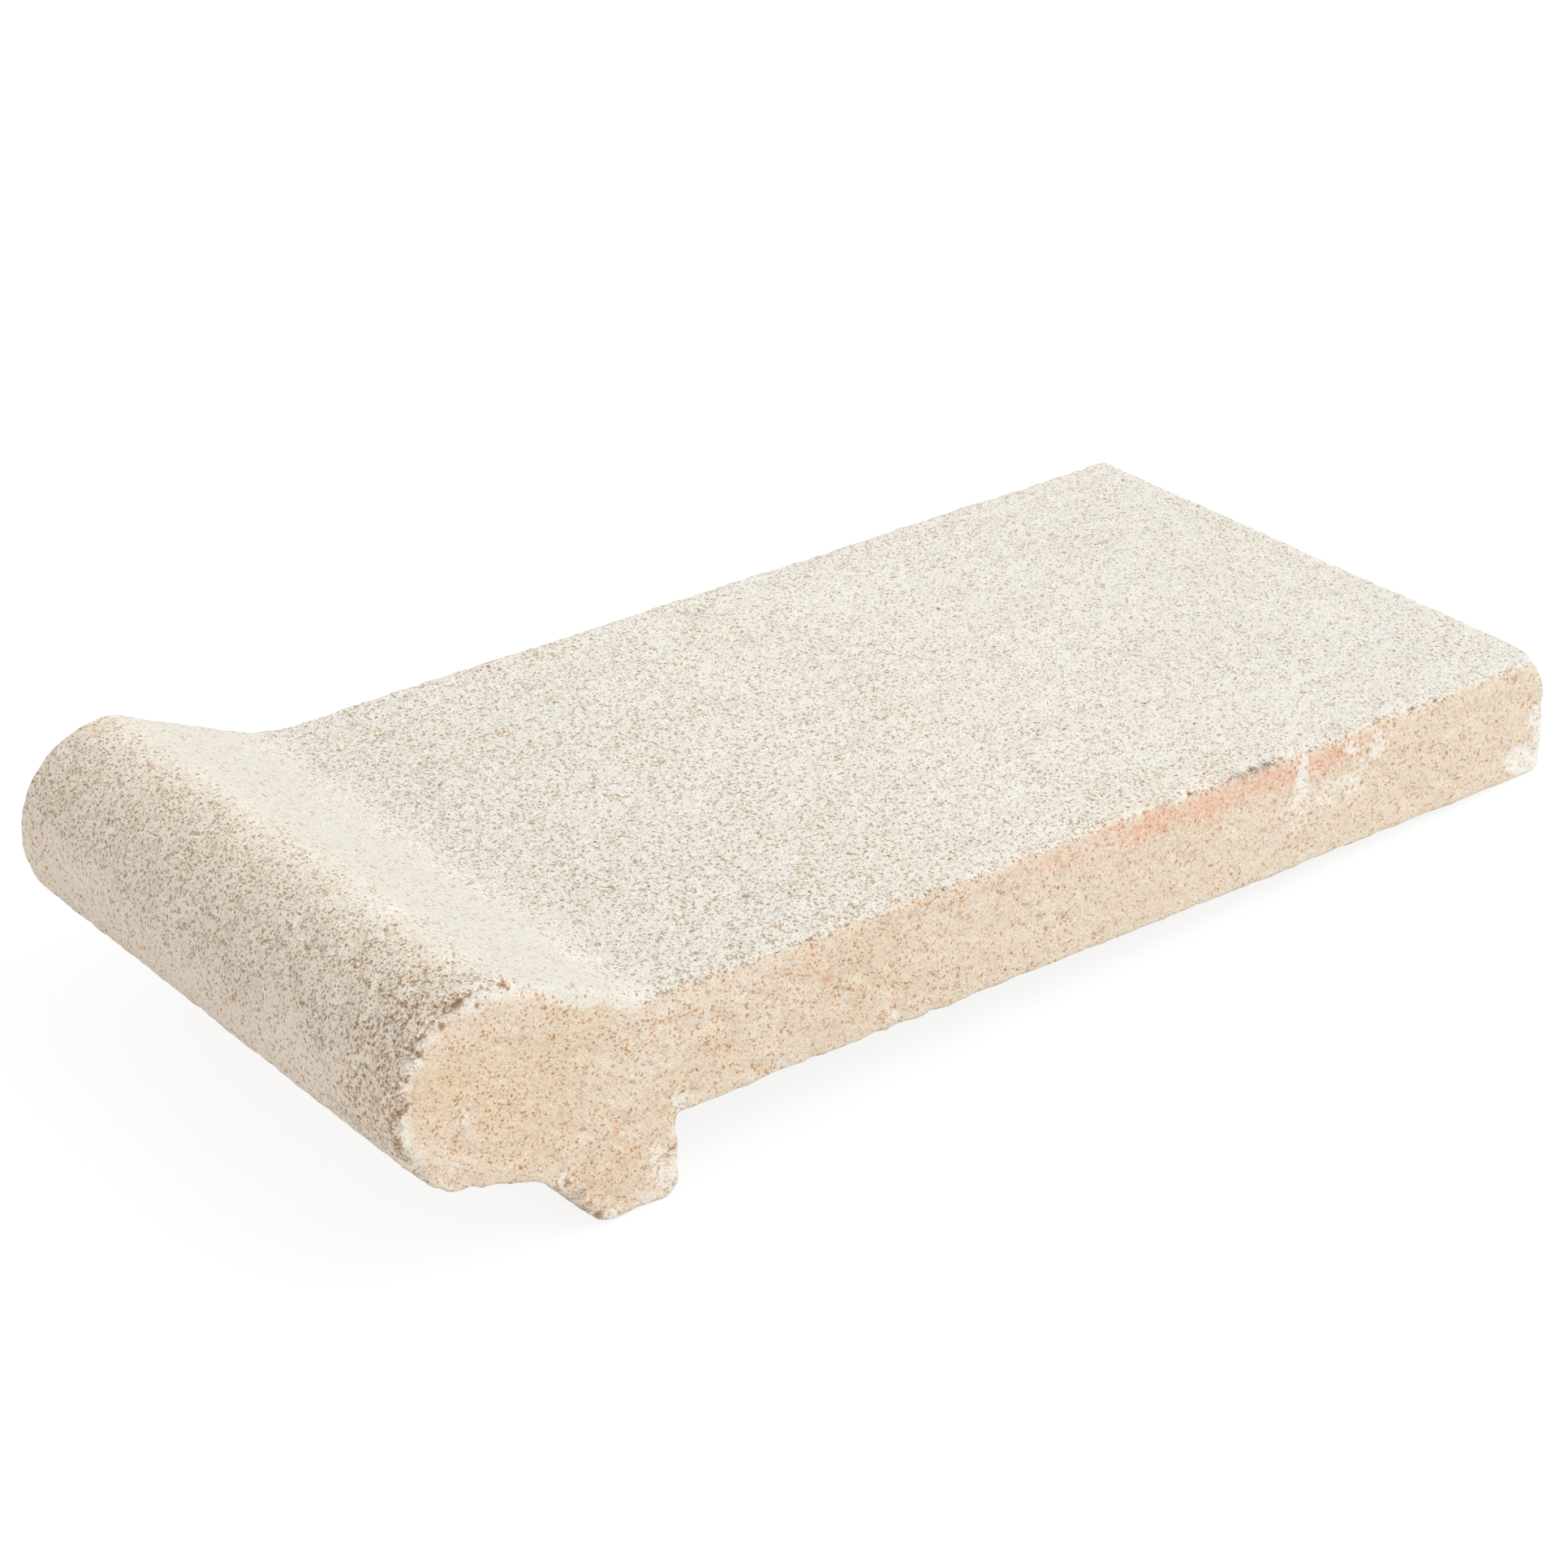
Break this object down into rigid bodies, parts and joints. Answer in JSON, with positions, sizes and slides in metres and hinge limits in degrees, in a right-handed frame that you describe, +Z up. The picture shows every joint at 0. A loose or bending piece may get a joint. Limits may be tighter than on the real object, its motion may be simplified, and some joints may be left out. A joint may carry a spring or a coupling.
{
  "type": "pool coping stone",
  "caption": "Flat cast coping stone with a raised rounded nose, a cove behind it and a lug under it that hangs inside a pool wall.",
  "frame": {"origin": "bottom centre of the bounding box of the stone as it lies on a level floor, on the heel of its lug and the bottom edge of its back", "axes": "+X from the nose to the back, +Y along the pool edge, +Z up; the slab leans down towards the back by 4.27 degrees"},
  "size_m": [0.2996, 0.153, 0.0645],
  "materials": {
    "stone": "matt granular cast stone, cream on the top and nose, peach on the sides"
  },
  "bodies": {
    "root": {"coping_stone": "stone"}
  },
  "joints": []
}
